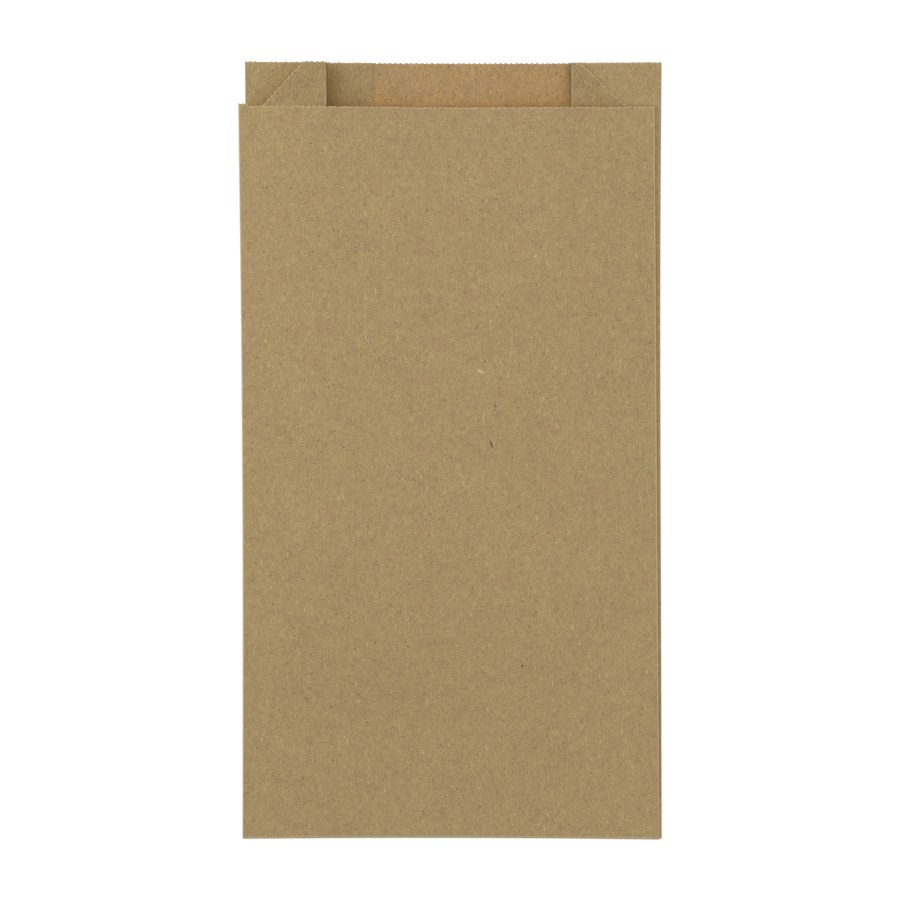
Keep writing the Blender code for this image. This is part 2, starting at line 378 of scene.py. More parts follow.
    def ply_ends(
        self, creases: list[Crease], headings: list[Arrays], ply: Ply
    ) -> tuple[Arrays, Arrays]:
        """Find the two ends of a ply's middle, which touch the creases beside it.

        Args:
            creases: the six creases.
            headings: the plies' first and last headings.
            ply: which ply.

        Returns:
            The start's and the end's x and height.
        """
        index = ply.value
        first, last = headings[index]
        middle = np.zeros_like(first)
        if ply is Ply.BACK_LEFT:
            x, z = creases[0].point(last, middle)
            return (np.full_like(x, self.seam_edge_x), z), (x, z)
        if ply is Ply.BACK_RIGHT:
            x, z = creases[5].point(first, middle)
            return (x, z), (np.full_like(x, self.outer_edge_x), z)
        return creases[index - 1].point(first, middle), creases[index].point(last, middle)

    def flat_spans(self) -> list[Pair]:
        """Lay the plies and creases out on the flat web, as long as they are at the mouth.

        Returns:
            The values of s at which each ply and each crease starts and ends, by turns.
        """
        mouth = np.array([self.height])
        creases = self.creases(mouth)
        headings = self.ply_headings(creases, mouth)
        spans: list[Pair] = []
        place = 0.0
        for ply in Ply:
            (x0, z0), (x1, z1) = self.ply_ends(creases, headings, ply)
            spans.append((place, place + float(np.hypot(x1 - x0, z1 - z0)[0])))
            place = spans[-1][1]
            if ply is not Ply.BACK_RIGHT:
                index = ply.value
                turned = float(abs(headings[index + 1][0] - headings[index][1])[0])
                spans.append((place, place + turned * float(creases[index].radius[0])))
                place = spans[-1][1]
        return spans

    def across(self, s: Array, t: Array, offset: Array) -> Arrays:
        """Place points of the web in the tube's cross-section.

        Args:
            s: places around the tube.
            t: heights up the tube.
            offset: how far out of the web's middle the points lie.

        Returns:
            Each point's x and its height over the back panel.
        """
        creases = self.creases(t)
        headings = self.ply_headings(creases, t)
        ends = np.array([end for _, end in self.spans[:-1]])
        span_of = np.searchsorted(ends, s, side="left")
        x = np.zeros_like(s)
        z = np.zeros_like(s)
        for index, (start, end) in enumerate(self.spans):
            here = span_of == index
            share = (s - start) / (end - start)
            if index % 2:
                first = headings[index // 2][1]
                last = headings[index // 2 + 1][0]
                px, pz = creases[index // 2].point(mix(first, last, share), offset)
            else:
                ply = Ply(index // 2)
                (x0, z0), (x1, z1) = self.ply_ends(creases, headings, ply)
                px = mix(x0, x1, share)
                pz = mix(z0, z1, share)
                pz = pz + self.billow(ply, share, t)
                heading = np.arctan2(z1 - z0, x1 - x0)
                if ply is Ply.FRONT:
                    pz = pz + self.front_rise(share, t)
                    heading = heading + self.front_slope(share, t)
                if ply is Ply.BACK_LEFT:
                    step_end = self.outer_edge_x - self.ply
                    pz = pz + self.ply * ease(px, step_end - self.seam_step_run, step_end)
                px = px - offset * np.sin(heading)
                pz = pz + offset * np.cos(heading)
            x[here] = px[here]
            z[here] = pz[here]
        return x, z

    def fold(self, s: Array, t: Array, offset: Array) -> Array:
        """Carry points of the web to where the folds put them.

        Args:
            s: places around the tube.
            t: heights up the tube, negative beyond the foot's fold.
            offset: how far out of the web's middle the points lie.

        Returns:
            One row of x, y and z for each point, over the ground.
        """
        x, z = self.across(s, t, offset)
        axis = self.paper / 2 + self.foot_lift - self.ply / 2
        radius = z + self.ply / 2
        turned = np.clip(-t / self.foot_arc, 0.0, 1.0) * math.pi
        beyond = np.maximum(-t - self.foot_arc, 0.0)
        above = t >= 0
        y = np.where(above, t, beyond - radius * np.sin(turned))
        z = np.where(above, z + self.back_lift(t), axis + radius * np.cos(turned))
        out = (x / (self.width / 2)) ** 2
        at_mouth = ease(t, self.height - self.bow_reach, self.height)
        at_foot = 1 - ease(t, 0.0, self.bow_reach)
        y = y + self.mouth_bow * (out - self.mouth_bow_rest) * at_mouth
        y = y - self.foot_bow * (out - self.foot_bow_rest) * at_foot
        y = y - self.skew * x
        return np.stack([x, y, z], axis=1)


@dataclass
class SawKnife:
    """The stepped saw-tooth knife that cuts both ends of the web, with worn, uneven teeth.

    A tooth's points are given as shares of the pitch, with the side of the cut that each is on.
    """

    pitch: float = 1.9 * MM
    depth: float = 0.36 * MM
    tooth: tuple[Pair, ...] = ((0.02, 0.0), (0.25, 1.0), (0.5, 0.0), (0.75, -1.0))
    unevenness: float = 0.6
    wander: float = 0.05
    fray: float = 0.07 * MM
    seed: int = 7

    def corners(self, web: FoldedWeb, top: float) -> list[Vector]:
        """Find the corners of the stepped cut.

        Args:
            web: the web that is cut.
            top: height of the cut's higher stretches.

        Returns:
            The corners from the web's one edge to the other.
        """
        left_fold = sum(web.crease_after(Ply.REAR_GUSSET_LEFT)) / 2
        right_fold = sum(web.crease_after(Ply.FRONT_GUSSET_RIGHT)) / 2
        left = left_fold + web.step_inset_left
        right = right_fold - web.step_inset_right
        left_heel = left + web.step_run_left
        heel = left_heel + web.heel_start
        right_heel = right - web.step_run_right
        low = top - web.lip
        return [
            Vector((0.0, top)),
            Vector((left, top)),
            Vector((left_heel, low)),
            Vector((heel, low)),
            Vector((heel + web.heel_drop, low + web.heel_rise_left)),
            Vector((heel + web.heel_drop + web.heel_flat, low + web.heel_rise_left)),
            Vector((heel + 2 * web.heel_drop + web.heel_flat, low)),
            Vector((right_heel - web.heel_run, low)),
            Vector((right_heel, low + web.heel_rise_right)),
            Vector((right, top)),
            Vector((web.web_width, top)),
        ]

    def path(self, web: FoldedWeb, top: float) -> list[Vector]:
        """Cut through the corners with teeth that stand square to the cut.

        Args:
            web: the web that is cut.
            top: height of the cut's higher stretches.

        Returns:
            The points of the saw-tooth edge.
        """
        draw = np.random.default_rng(self.seed)
        corners = self.corners(web, top)
        points = [corners[0].copy()]
        for start, end in zip(corners, corners[1:]):
            run = end - start
            teeth = max(round(run.length / self.pitch), 1)
            normal = Vector((-run.y, run.x)).normalized()
            for index in range(teeth):
                for phase, side in self.tooth:
                    astray = draw.uniform(-self.wander, self.wander) * (phase > self.tooth[0][0])
                    along = (index + phase + astray) / teeth
                    reach = self.depth / 2 * side * (1 + self.unevenness * draw.uniform(-1, 1))
                    reach += self.fray * draw.uniform(-1, 1)
                    points.append(start + run * along + normal * reach)
            points.append(end.copy())
        return points


@dataclass
class KraftBag:
    """The paper bag: the folded web as a fine mesh, and the marks that its finish follows."""

    web: FoldedWeb
    knife: SawKnife
    net: float = 3.6 * MM
    crease_steps: int = 10
    foot_steps: int = 10
    least_step: float = 0.02 * MM
    snap: float = 1e-8
    fold_margin: float = 0.45 * MM
    edge_margin: float = 0.8 * MM
    sharp_angle: float = math.radians(50)
    # Cockle: slow waves in the paper, full where it lies loose and none where it lies tight.
    cockle_waves: int = 9
    cockle_height: float = 0.10 * MM
    cockle_length: float = 34.0 * MM
    cockle_spread: Pair = (0.6, 1.8)
    tight_below: float = 0.9 * MM
    loose_above: float = 4.0 * MM
    seed: int = 23
    # Marks at the gussets' inner folds, in shares of the turn: a painted highlight on top and
    # painted shade on the side. And how far in the painted light through a single ply reaches.
    rim_lit_width: float = 0.15
    shade_place: float = 0.55
    shade_width: float = 0.20
    shade_peak: float = 1.3
    lit_reach: float = 3.0 * MM

    def spread(self, start: float, end: float) -> list[float]:
        """Divide a stretch evenly into cells of about the net's size."""
        steps = max(round((end - start) / self.net), 1)
        return [mix(start, end, step / steps) for step in range(steps + 1)]

    def rules_along(self) -> list[float]:
        """Choose where the sheet is divided along its length.

        Returns:
            The values of s, from low to high.
        """
        places: list[float] = []
        for index, (start, end) in enumerate(self.web.spans):
            if index % 2:
                steps = self.crease_steps
                places += [mix(start, end, step / steps) for step in range(steps + 1)]
                places += [start - self.fold_margin, end + self.fold_margin]
            else:
                places += self.spread(start + 2 * self.fold_margin, end - 2 * self.fold_margin)
        step = self.web.seam_edge_x - self.web.outer_edge_x + self.web.ply
        places += [step + self.web.seam_step_run * share for share in QUARTERS]
        return self.apart(places)

    def rules_across(self) -> list[float]:
        """Choose where the sheet is divided across its width.

        Returns:
            The values of t, from low to high.
        """
        web = self.web
        places = [-web.foot_arc * step / self.foot_steps for step in range(self.foot_steps + 1)]
        places += [self.fold_margin, -web.foot_arc - self.fold_margin]
        short = web.foot_flap + web.foot_clearance
        tongue = short + web.lip
        places += self.spread(self.net, tongue + web.tongue_ramp)
        places += [short + web.foot_ramp * share for share in QUARTERS]
        places += self.spread(tongue + web.tongue_ramp, web.height - self.edge_margin)
        places += [web.height - web.lip - self.edge_margin]
        return self.apart(places)

    def apart(self, places: list[float]) -> list[float]:
        """Sort the places and drop those that all but meet the one before.

        Args:
            places: the places.

        Returns:
            Those that are kept.
        """
        kept: list[float] = []
        for place in sorted(places):
            if not kept or place - kept[-1] > self.least_step:
                kept.append(place)
        return kept

    def rule(self, sheet: bmesh.types.BMesh, place: float, axis: int) -> None:
        """Divide the whole sheet along a line.

        Args:
            sheet: the sheet.
            place: where the line crosses the axis.
            axis: 0 for a line at a value of s, 1 for one at a value of t.
        """
        everything = sheet.verts[:] + sheet.edges[:] + sheet.faces[:]
        normal = Vector([float(index == axis) for index in range(3)])
        bmesh.ops.bisect_plane(
            sheet, geom=everything, dist=self.snap, plane_co=normal * place, plane_no=normal
        )

    def flat_sheet(self) -> bmesh.types.BMesh:
        """Cut the flat web, rule it into a fine net and thicken it to paper.

        Returns:
            The sheet, which lies flat with s along x and t along y.
        """
        web = self.web
        sheet = bmesh.new()
        foot_top = -web.foot_flap - web.foot_arc
        outline = self.knife.path(web, foot_top) + self.knife.path(web, web.height)[::-1]
        corners = [sheet.verts.new((point.x, point.y, -web.paper / 2)) for point in outline]
        sheet.faces.new(corners)
        for place in self.rules_across():
            self.rule(sheet, place, 1)
        for place in self.rules_along():
            self.rule(sheet, place, 0)
        ragged = [face for face in sheet.faces if len(face.verts) > 4]
        bmesh.ops.triangulate(sheet, faces=ragged)
        raised = bmesh.ops.extrude_face_region(sheet, geom=sheet.faces[:])
        upper = [item for item in raised["geom"] if isinstance(item, bmesh.types.BMVert)]
        bmesh.ops.translate(sheet, verts=upper, vec=(0, 0, web.paper))
        return sheet

    def cockle(self, places: Array) -> Array:
        """Find how far the loose paper waves up and down, as slow waves of mixed directions.

        Args:
            places: one row of x, y and z for each point of the folded paper.

        Returns:
            The rise of each point.
        """
        draw = np.random.default_rng(self.seed)
        wave = np.zeros(len(places))
        for _ in range(self.cockle_waves):
            bearing = draw.uniform(0, math.pi)
            length = self.cockle_length * draw.uniform(*self.cockle_spread)
            phase = draw.uniform(0, 2 * math.pi)
            along = places[:, 0] * math.cos(bearing) + places[:, 1] * math.sin(bearing)
            wave += np.sin(2 * math.pi * along / length + phase)
        loose = ease(places[:, 2], self.tight_below, self.loose_above)
        return self.cockle_height * wave / math.sqrt(self.cockle_waves) * loose

    def distances(self, s: Array, t: Array) -> Arrays:
        """Measure how far points of the flat web lie from the nearest cut and highlighted fold.

        The foot's fold and the front panel's two folds get rubbed pale fibres and a painted
        highlight, and the others lie under them.

        Args:
            s: places around the tube.
            t: heights up the tube.

        Returns:
            Each point's distances from a cut and from a fold, in millimetres.
        """
        web = self.web
        cut = np.full_like(s, np.inf)
        for top in (web.height, -web.foot_flap - web.foot_arc):
            corners = self.knife.corners(web, top)
            for start, end in zip(corners, corners[1:]):
                run = end - start
                share = ((s - start.x) * run.x + (t - start.y) * run.y) / run.length_squared
                share = np.clip(share, 0.0, 1.0)
                gap = np.hypot(s - start.x - share * run.x, t - start.y - share * run.y)
                cut = np.minimum(cut, gap)
        fold = np.maximum(np.maximum(t, -web.foot_arc - t), 0.0)
        for ply in (Ply.FRONT_GUSSET_LEFT, Ply.FRONT):
            start, end = web.crease_after(ply)
            gap = np.maximum(np.maximum(start - s, s - end), 0.0)
            fold = np.minimum(fold, gap)
        return cut / MM, fold / MM

    def rim_marks(self, s: Array) -> Arrays:
        """Mark the inner folds: a painted highlight on pale fibres atop the turn, painted shade
        below it.

        Args:
            s: places around the tube.

        Returns:
            How much painted highlight and how much painted shade each point gets.
        """
        # Painted highlight on top of each inner fold's turn, painted shade on its side.
        worn_and_lit = np.zeros_like(s)
        shaded = np.zeros_like(s)
        for ply, upward in ((Ply.REAR_GUSSET_LEFT, 1), (Ply.FRONT_GUSSET_RIGHT, -1)):
            start, end = self.web.crease_after(ply)
            top = end if upward > 0 else start
            height = 1 + upward * (s - top) / (end - start)
            below = np.abs(height - self.shade_place) / self.shade_width
            worn_and_lit = np.maximum(worn_and_lit, 1 - np.abs(height - 1) / self.rim_lit_width)
            shaded = np.maximum(shaded, self.shade_peak - below)
        return worn_and_lit, shaded

    def single_ply(self, s: Array) -> Array:
        """Mark the one-ply stretch of the back panel between seam and gusset, which gets painted
        light.
        """
        start, end = self.web.spans[-1]
        return (s > start + self.web.gusset_right - self.lit_reach) & (s <= end)

    def build(self, shift_x: float, shift_y: float) -> bpy.types.Object:
        """Make the bag.

        Args:
            shift_x: from the tube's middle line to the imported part's origin.
            shift_y: from the foot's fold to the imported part's origin.

        Returns:
            The bag's object.
        """
        sheet = self.flat_sheet()
        mesh = bpy.data.meshes.new("kraft_bag")
        sheet.to_mesh(mesh)
        sheet.free()
        flat = np.empty(len(mesh.vertices) * 3)
        mesh.vertices.foreach_get("co", flat)
        s, t, offset = flat.reshape(-1, 3).T.copy()
        places = self.web.fold(s, t, offset)
        places[:, 2] += self.cockle(places)
        places += np.array([shift_x, shift_y, 0.0])
        mesh.vertices.foreach_set("co", places.ravel())
        # The finish's marks: the inside face, the single ply with painted light through it,
        # distances for pale fibres with a painted highlight, and the inner folds' painted
        # highlight and shade.
        marks = {"inside": offset < 0, "single_ply": self.single_ply(s)}
        marks["cut"], marks["fold"] = self.distances(s, t)
        marks["rim_worn_and_lit"], marks["rim_shaded"] = self.rim_marks(s)
        for name, values in marks.items():
            layer = mesh.attributes.new(name, "FLOAT", "POINT")
            layer.data.foreach_set("value", values.astype(np.float32))
        corner_vertex = np.empty(len(mesh.loops), dtype=np.int32)
        mesh.loops.foreach_get("vertex_index", corner_vertex)
        flat_map = mesh.uv_layers.new(name="web")
        flat_map.data.foreach_set("uv", np.stack([s, t], axis=1)[corner_vertex].ravel())
        mesh.update()
        faces = bmesh.new()
        faces.from_mesh(mesh)
        bmesh.ops.recalc_face_normals(faces, faces=faces.faces[:])
        faces.to_mesh(mesh)
        faces.free()
        mesh.shade_smooth()
        mesh.set_sharp_from_angle(angle=self.sharp_angle)
        bag = bpy.data.objects.new("kraft_bag", mesh)
        bpy.context.scene.collection.objects.link(bag)
        return bag


def add_node(
    tree: bpy.types.NodeTree, kind: str, inputs: dict[int | str, Any], **settings: Any
) -> bpy.types.NodeOutputs:
    """Add a node, set its properties, and set or link its inputs.

    Args:
        tree: the node tree.
        kind: the node's type name, without the ShaderNode that it starts with.
        inputs: for each input, its value or the socket that feeds it.
        settings: the node's own properties.

    Returns:
        The node's outputs.
    """
    node = tree.nodes.new("ShaderNode" + kind)
    for name, value in settings.items():
        setattr(node, name, value)
    for name, value in inputs.items():
        if isinstance(value, Socket):
            tree.links.new(value, node.inputs[name])
        else:
            node.inputs[name].default_value = value
    return node.outputs


def metres(size_mm: Pair) -> tuple[float, float, float]:
    """Turn a size across and along the web into metres, for a mapping that divides by it."""
    return size_mm[0] * MM, size_mm[1] * MM, size_mm[0] * MM


@dataclass(frozen=True)
class Layer:
    """One layer of the paper's uneven tone or colour, and the values that give none and all."""

    size_mm: Pair
    detail: float
    depth: float
    span: Pair = (0.0, 1.0)


@dataclass(frozen=True)
class Fleck:
    """A kind of short fibre or speck that is scattered over the paper, at most one in a cell.

    Share tells how many cells have one, and thick is half its size as a share of the cell's.
    """

    cell_mm: Pair
    lean: float
    share: float
    thick: float
    colour: str
    most: float


@dataclass(frozen=True)
class Blemish:
    """A single mark in the pulp of the front panel, and its size from the middle to the edge."""

    from_fold_mm: float
    from_foot_mm: float
    size_mm: Pair
    lean: float
    colour: str
    most: float


@dataclass
class MachineGlazedKraft:
    """Machine-glazed brown kraft: unbleached pulp dried on a polished cylinder.

    The eye gets a matt, warm brown with a fine grain along the web, clouds where the fibres
    lie thicker, short pale and dark fibres, specks of bark, and paler fibres at cuts and folds.
    Light and shade are painted in as well: a highlight along cuts and folds, shade on the sides
    of the gussets' inner folds and warm shade in crevices, and light through a single ply.
    Kraft fibres are about 0.03 mm thick and 2 to 4 mm long, too fine for the render, so the grain
    and the fibres are drawn 0.3 mm thick or more.
    """

    front_start: float
    yellow_pulp: str = "#a8945b"
    red_pulp: str = "#a68a65"
    brown_cloud: str = "#a3855e"
    inner_yellow: str = "#9e8754"
    inner_red: str = "#9c815b"
    # Painted light that comes through the single ply of the back panel, in two tones.
    lit_orange: str = "#ab8753"
    lit_pale: str = "#a78a5e"
    # Pale fibres at cuts and folds, with a painted highlight on them.
    torn_fibre_and_highlight: str = "#d3c19a"
    worn_fibre_and_highlight: str = "#c9b58b"
    # Painted shade on the side of a gusset's inner fold.
    shaded_rim: str = "#4e3a22"
    # Painted warm shade where other plies enclose the paper, found by ambient occlusion.
    painted_crevice_shade: str = "#f7d87d"
    crevice_shade_mm: float = 16.0
    ior: float = 1.5
    roughness: Pair = (0.66, 0.80)
    rough_span: Pair = (0.2, 0.8)
    bump_mm: float = 0.02
    bump_strength: float = 0.6
    finer_share: float = 0.6
    grain: Layer = Layer((0.33, 0.66), 1.0, 1.16)
    layers: tuple[Layer, ...] = (
        Layer((0.55, 2.4), 1.0, 0.54),
        Layer((2.2, 3.2), 2.0, 0.34),
        Layer((14.0, 22.0), 1.0, 0.13),
        Layer((0.8, 18.0), 1.0, 0.12),
    )
    hue: Layer = Layer((1.0, 1.7), 3.0, 1.0, (0.32, 0.68))
    cloud: Layer = Layer((2.4, 3.2), 3.0, 1.0, (0.34, 0.66))
    brown: Layer = Layer((4.0, 6.0), 2.0, 0.78, (0.42, 0.72))
    # The ragged fibres and their painted highlight reach unevenly far from a cut.
    fringe: Layer = Layer((0.42, 0.50), 2.0, 2.8)
    # How far and how strongly the pale fibres and painted highlight of cuts and folds reach, and
    # the strength of the inner folds' painted highlight and painted shade.
    torn_and_lit_mm: float = 0.45
    torn_and_lit_most: float = 0.60
    worn_and_lit_mm: float = 0.26
    worn_and_lit_most: float = 0.68
    rim_worn_and_lit_most: float = 0.20
    rim_shaded_most: float = 1.0
    crevice_shade_samples: int = 8
    fleck_core: float = 0.5
    blemish_core: float = 0.4
    flecks: tuple[Fleck, ...] = (
        Fleck((1.4, 10.0), 0.12, 0.07, 0.11, "#c4b187", 0.55),
        Fleck((1.5, 8.0), -0.40, 0.06, 0.11, "#c6b38a", 0.55),
        Fleck((1.4, 7.0), 0.85, 0.05, 0.11, "#c6b38a", 0.50),
        Fleck((1.9, 12.0), -0.12, 0.04, 0.10, "#d0bf98", 0.72),
        Fleck((2.6, 3.0), 0.4, 0.06, 0.080, "#d2c5a4", 0.65),
        Fleck((2.0, 6.5), 0.5, 0.03, 0.080, "#6b5236", 0.50),
        Fleck((2.2, 6.0), -0.3, 0.03, 0.080, "#705a3e", 0.50),
        Fleck((2.9, 3.1), 0.9, 0.09, 0.080, "#66503a", 0.65),
        Fleck((4.6, 5.6), 0.2, 0.15, 0.062, "#4a3624", 0.85),
        Fleck((7.5, 8.5), 0.7, 0.14, 0.070, "#8a5f35", 0.55),
    )
    blemishes: tuple[Blemish, ...] = (
        Blemish(89.9, 141.3, (0.40, 2.1), -0.39, "#2e2820", 0.95),
        Blemish(87.8, 171.0, (0.58, 0.70), 0.0, "#5d6a62", 0.85),
        Blemish(66.2, 186.6, (2.0, 2.6), -0.3, "#93703e", 0.42),
        Blemish(100.6, 61.6, (0.48, 0.66), -0.2, "#4a3826", 0.90),
        Blemish(86.2, 167.4, (1.90, 0.75), 0.58, "#cbb98f", 0.75),
        Blemish(91.3, 155.1, (0.60, 0.66), 0.0, "#7d4a2a", 0.75),
        Blemish(89.9, 185.3, (0.46, 0.36), 0.5, "#d8d0b0", 0.90),
        Blemish(87.2, 151.0, (0.24, 2.9), 0.05, "#cdbd92", 0.65),
    )

    def __post_init__(self) -> None:
        """Start the material, and find the place on the web in metres and which face it is."""
        self.material = bpy.data.materials.new("machine_glazed_brown_kraft")
        self.material.use_nodes = True
        self.material.diffuse_color = linear(self.yellow_pulp)
        self.add = partial(add_node, self.material.node_tree)
        self.inside = self.add("Attribute", {}, attribute_name="inside")["Fac"]
        flat = self.add("UVMap", {}, uv_map="web")[0]
        apart = self.add("CombineXYZ", {"Z": self.inside})[0]
        self.place = self.add("VectorMath", {0: flat, 1: apart}, operation="ADD")[0]

    def pattern(self, layer: Layer) -> Socket:
        """Draw an uneven pattern on the web.

        Args:
            layer: the pattern's size across and along the web, and its finer detail.

        Returns:
            The socket of the pattern's value, about 0.5 on average.
        """
        sized = {"Vector": self.place, "Scale": metres(layer.size_mm)}
        at = self.add("Mapping", sized, vector_type="TEXTURE")[0]
        shape = {"Vector": at, "Scale": 1.0, "Detail": layer.detail, "Roughness": self.finer_share}
        return self.add("TexNoise", shape)["Fac"]

    def patches(self, layer: Layer) -> Socket:
        """Turn a layer's pattern into patches.

        Args:
            layer: the layer.

        Returns:
            The socket of a share between 0 and the layer's depth.
        """
        low, high = layer.span
        limits = {"From Min": low, "From Max": high, "To Max": layer.depth}
        return self.add("MapRange", {"Value": self.pattern(layer), **limits})[0]

    def scatter(self, fleck: Fleck) -> Socket:
        """Scatter flecks over the web.

        Args:
            fleck: the kind of fleck.

        Returns:
            The socket of the mask, which is fleck.most on a fleck.
        """
        turned = {"Rotation": (0, 0, -fleck.lean), "Scale": metres(fleck.cell_mm)}
        at = self.add("Mapping", {"Vector": self.place, **turned}, vector_type="TEXTURE")[0]
        cells = self.add("TexVoronoi", {"Vector": at, "Scale": 1.0}, voronoi_dimensions="2D")
        fade = {
            "Value": cells["Distance"],
            "From Min": fleck.thick,
            "From Max": fleck.thick * self.fleck_core,
            "To Max": fleck.most,
        }
        near = self.add("MapRange", fade)[0]
        pick = self.add("SeparateColor", {0: cells["Color"]})[0]
        held = self.add("Math", {0: pick, 1: fleck.share}, operation="LESS_THAN")[0]
        return self.add("Math", {0: near, 1: held}, operation="MULTIPLY")[0]

    def blemish(self, mark: Blemish) -> Socket:
        """Place one mark, in from the value of s at which the front panel starts.

        Args:
            mark: the mark.

        Returns:
            The socket of the mask, which is mark.most on the mark.
        """
        turned = {
            "Vector": self.place,
            "Location": (self.front_start + mark.from_fold_mm * MM, mark.from_foot_mm * MM, 0),
            "Rotation": (0, 0, -mark.lean),
            "Scale": metres(mark.size_mm),
        }
        at = self.add("Mapping", turned, vector_type="TEXTURE")[0]
        reach = self.add("VectorMath", {0: at}, operation="LENGTH")["Value"]
        limits = {"From Min": 1.0, "From Max": self.blemish_core, "To Max": mark.most}
        return self.add("MapRange", {"Value": reach, **limits})[0]

    def cover(self, under: Any, coats: list[tuple[Any, Any]]) -> Socket:
        """Lay coats of colour over one another.

        Args:
            under: the colour underneath, or its socket.
            coats: for each coat the share that it covers and its colour, or their sockets.

        Returns:
            The socket of the resulting colour.
        """
        for share, colour in coats:
            under = self.add("Mix", {0: share, 6: under, 7: colour}, data_type="RGBA")[2]
        return under

    def paint_crevice_shade(self, pulp: Socket) -> Socket:
        """Paint warm shade where other plies enclose the paper: they block light and let warm
        light through.

        Args:
            pulp: the socket of the paper's colour.

        Returns:
            The socket of the warmed colour.
        """
        # Painted shade: ambient occlusion darkens and warms the enclosed paper.
        reach = {"Distance": self.crevice_shade_mm * MM}
        samples = self.crevice_shade_samples
        opened = self.add("AmbientOcclusion", reach, samples=samples, only_local=True)["AO"]
        closed = self.add("Math", {0: 1.0, 1: opened}, operation="SUBTRACT", use_clamp=True)[0]
        tinted = {0: pulp, 1: linear(self.painted_crevice_shade)[:3]}
        crevice_shaded = self.add("VectorMath", tinted, operation="MULTIPLY")[0]
        return self.cover(pulp, [(closed, crevice_shaded)])

    def near_zero(self, name: str, reach: float, most: float, ragged: Any) -> Socket:
        """Turn a distance kept on the mesh into a share that fades out within reach.

        Args:
            name: the distance's name.
            reach: where the share has faded to 0, in millimetres.
            most: the share at distance 0.
            ragged: what is added to the distance, in millimetres, or its socket.

        Returns:
            The socket of the share.
        """
        distance = self.add("Attribute", {}, attribute_name=name)["Fac"]
        uneven = self.add("Math", {0: distance, 1: ragged}, operation="ADD")[0]
        fade = {"Value": uneven, "From Max": reach, "To Min": most, "To Max": 0.0}
        return self.add("MapRange", fade)[0]

    def wear_highlight_and_shade(self) -> list[tuple[Any, Any]]:
        """Paint pale fibres and a highlight at cuts and folds, and shade on the sides of the
        gussets' inner folds.

        Returns:
            The coats of colour.
        """
        depth = self.fringe.depth
        ragged = {0: self.pattern(self.fringe), 1: depth, 2: -depth / 2}
        fringe = self.add("Math", ragged, operation="MULTIPLY_ADD")[0]
        # Pale fibres with a painted highlight along cuts and folds.
        torn_and_lit = self.near_zero("cut", self.torn_and_lit_mm, self.torn_and_lit_most, fringe)
        worn_and_lit = self.near_zero("fold", self.worn_and_lit_mm, self.worn_and_lit_most, 0.0)
        coats = [(torn_and_lit, linear(self.torn_fibre_and_highlight)), (worn_and_lit, linear(self.worn_fibre_and_highlight))]
        # The inner folds: a painted highlight on top of the turn, painted shade on its side.
        for name, most, colour in (
            ("rim_worn_and_lit", self.rim_worn_and_lit_most, self.worn_fibre_and_highlight),
            ("rim_shaded", self.rim_shaded_most, self.shaded_rim),
        ):
            rim = self.add("Attribute", {}, attribute_name=name)["Fac"]
            share = self.add("Math", {0: rim, 1: most}, operation="MULTIPLY", use_clamp=True)[0]
            coats.append((share, linear(colour)))
        return coats

    def pulp(self) -> Socket:
        """Colour the bare pulp: yellower and redder patches, painted light through a single ply,
        and painted warm shade where plies enclose it.

        Returns:
            The socket of the colour.
        """
        hue = self.patches(self.hue)
        brown = self.patches(self.brown)
        cloud = self.patches(self.cloud)
        inner = self.cover(linear(self.inner_yellow), [(hue, linear(self.inner_red))])
        clouds = self.cover(linear(self.lit_orange), [(cloud, linear(self.lit_pale))])
        # Painted light through the single ply of the back panel, on its inside face.
        single = self.add("Attribute", {}, attribute_name="single_ply")["Fac"]
        lit = self.add("Math", {0: self.inside, 1: single}, operation="MULTIPLY")[0]
        outer = [(hue, linear(self.red_pulp)), (brown, linear(self.brown_cloud))]
        bare = self.cover(linear(self.yellow_pulp), [*outer, (self.inside, inner), (lit, clouds)])
        return self.paint_crevice_shade(bare)

    def build(self) -> bpy.types.Material:
        """Build the paper's material.

        Returns:
            The material.
        """
        layers = (self.grain, *self.layers)
        values = [self.pattern(layer) for layer in layers]
        tone: Any = 1 - sum(layer.depth for layer in layers) / 2
        for value, layer in zip(values, layers):
            terms = {0: value, 1: layer.depth, 2: tone}
            tone = self.add("Math", terms, operation="MULTIPLY_ADD")[0]
        toned = self.add("VectorMath", {0: self.pulp(), "Scale": tone}, operation="SCALE")[0]
        coats = [(self.scatter(fleck), linear(fleck.colour)) for fleck in self.flecks]
        coats += [(self.blemish(mark), linear(mark.colour)) for mark in self.blemishes]
        colour = self.cover(toned, coats + self.wear_highlight_and_shade())

        limits = {
            "Value": values[0],
            "From Min": self.rough_span[0],
            "From Max": self.rough_span[1],
            "To Min": self.roughness[0],
            "To Max": self.roughness[1],
        }
        rough = self.add("MapRange", limits)[0]
        relief = {"Strength": self.bump_strength, "Distance": self.bump_mm * MM}
        bump = self.add("Bump", {"Height": values[0], **relief})[0]
        tree = self.material.node_tree
        shader = tree.nodes["Principled BSDF"]
        shader.inputs["Metallic"].default_value = 0.0
        shader.inputs["IOR"].default_value = self.ior
        for name, socket in (("Base Color", colour), ("Roughness", rough), ("Normal", bump)):
            tree.links.new(socket, shader.inputs[name])
        return self.material


@dataclass(frozen=True)
class Softbox:
    """A lamp with a lit rectangle for its front, whose size is its width and its height."""

    name: str
    place: tuple[float, float, float]
    size: Pair
    watts: float

    def hang(self) -> None:
        """Hang the lamp in its place, facing the bag."""
        lamp = bpy.data.lights.new(self.name, "AREA")
        lamp.shape = "RECTANGLE"
        lamp.energy = self.watts
        lamp.size, lamp.size_y = self.size
        holder = bpy.data.objects.new(self.name, lamp)
        holder.location = self.place
        holder.rotation_euler = (-Vector(self.place)).to_track_quat("-Z", "Y").to_euler()
        bpy.context.scene.collection.objects.link(holder)


